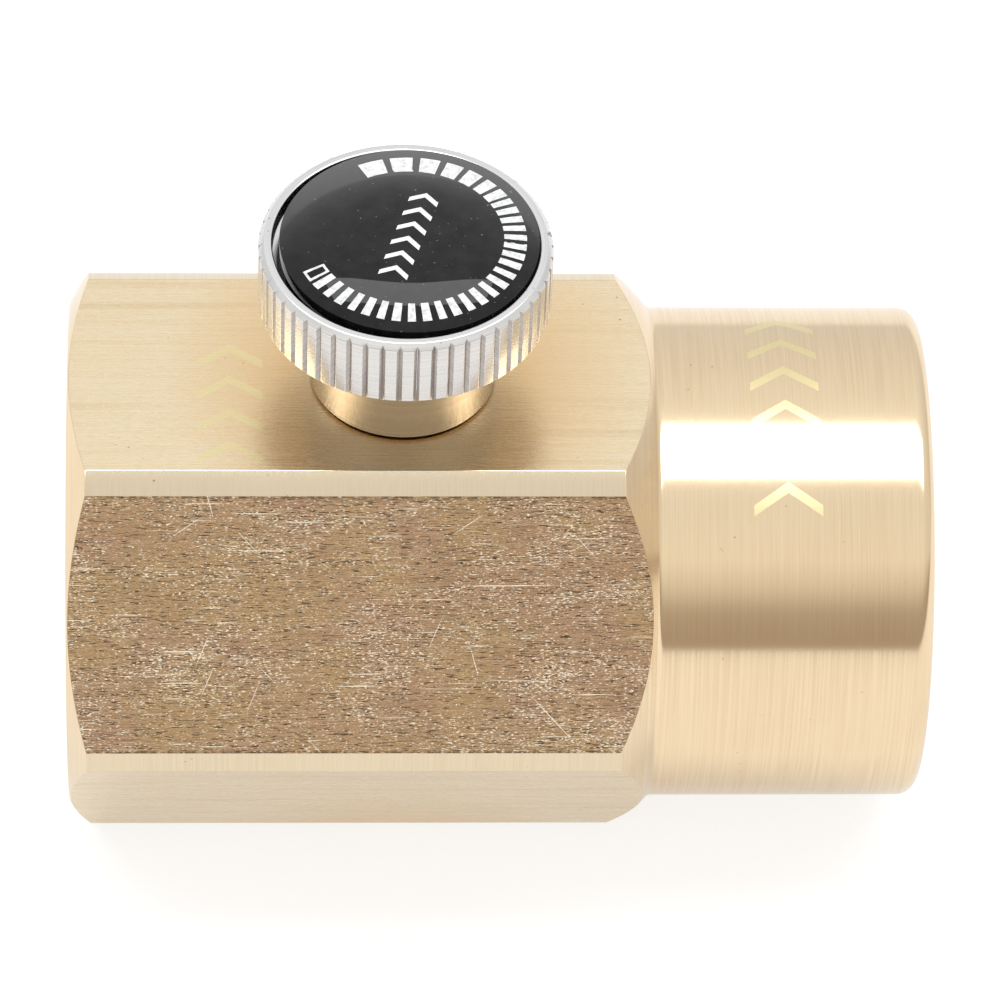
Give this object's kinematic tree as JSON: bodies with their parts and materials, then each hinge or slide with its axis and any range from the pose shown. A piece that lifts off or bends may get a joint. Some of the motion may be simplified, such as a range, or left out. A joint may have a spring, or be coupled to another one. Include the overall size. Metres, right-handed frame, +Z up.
{
  "type": "air pressure regulator",
  "caption": "Hexagonal brass adapter valve with a threaded socket in each end and a knurled side knob whose screw and cone push a pin out to open a gas cylinder's own valve.",
  "frame": {"origin": "middle of the body's underside, at the centre of the whole adapter's length, on the flat it rests on", "axes": "+X along the body from the cylinder socket to the tank socket, +Z up along the knob's screw, +Y to the left when looking along +X"},
  "size_m": [0.0502, 0.0338, 0.0413],
  "materials": {
    "brass": "machined, brushed on the flats and turned on the collar",
    "nickel": "bright nickel plate over brass",
    "steel": "ground stainless steel",
    "bronze": "sintered bronze grains",
    "nylon": "turned white nylon",
    "rubber": "moulded black rubber",
    "resin": "clear domed resin over a black printed disc"
  },
  "bodies": {
    "body": {"valve_body": "brass", "cylinder_seal_washer": "nylon", "tank_seal_washer": "nylon", "inlet_filter": "bronze", "filter_snap_ring": "steel", "pin_guide_plug": "brass", "pin_return_spring": "steel", "bonnet_bush": "brass", "bonnet_gasket": "nylon"},
    "cone": {"cone_plunger": "steel", "thrust_ball": "steel"},
    "knob_and_stem": {"stem": "steel", "stem_o_ring_upper": "rubber", "stem_o_ring_lower": "rubber", "stem_backup_ring": "nylon", "knob": "nickel", "knob_washer": "steel", "knob_screw": "steel", "dial_label": "resin"},
    "pin": {"push_pin": "steel"}
  },
  "joints": [
    {"name": "stem_travel", "type": "slide", "parent": "body", "child": "cone", "axis": [0, 0, 1], "range_m": [0, 0.002]},
    {"name": "knob_turn", "type": "hinge", "parent": "cone", "child": "knob_and_stem", "pos_m": [-0.00565, 0, 0.035], "axis": [0, 0, 1], "range_deg": [0, 720]},
    {"name": "pin_travel", "type": "slide", "parent": "body", "child": "pin", "axis": [1, 0, 0], "range_m": [0, 0.002], "deforming": ["pin_return_spring"]}
  ],
  "couplings": [
    {"joint": "knob_turn", "follows": "stem_travel", "rad_per_m": 6283.2},
    {"joint": "pin_travel", "follows": "stem_travel", "ratio": 1}
  ]
}
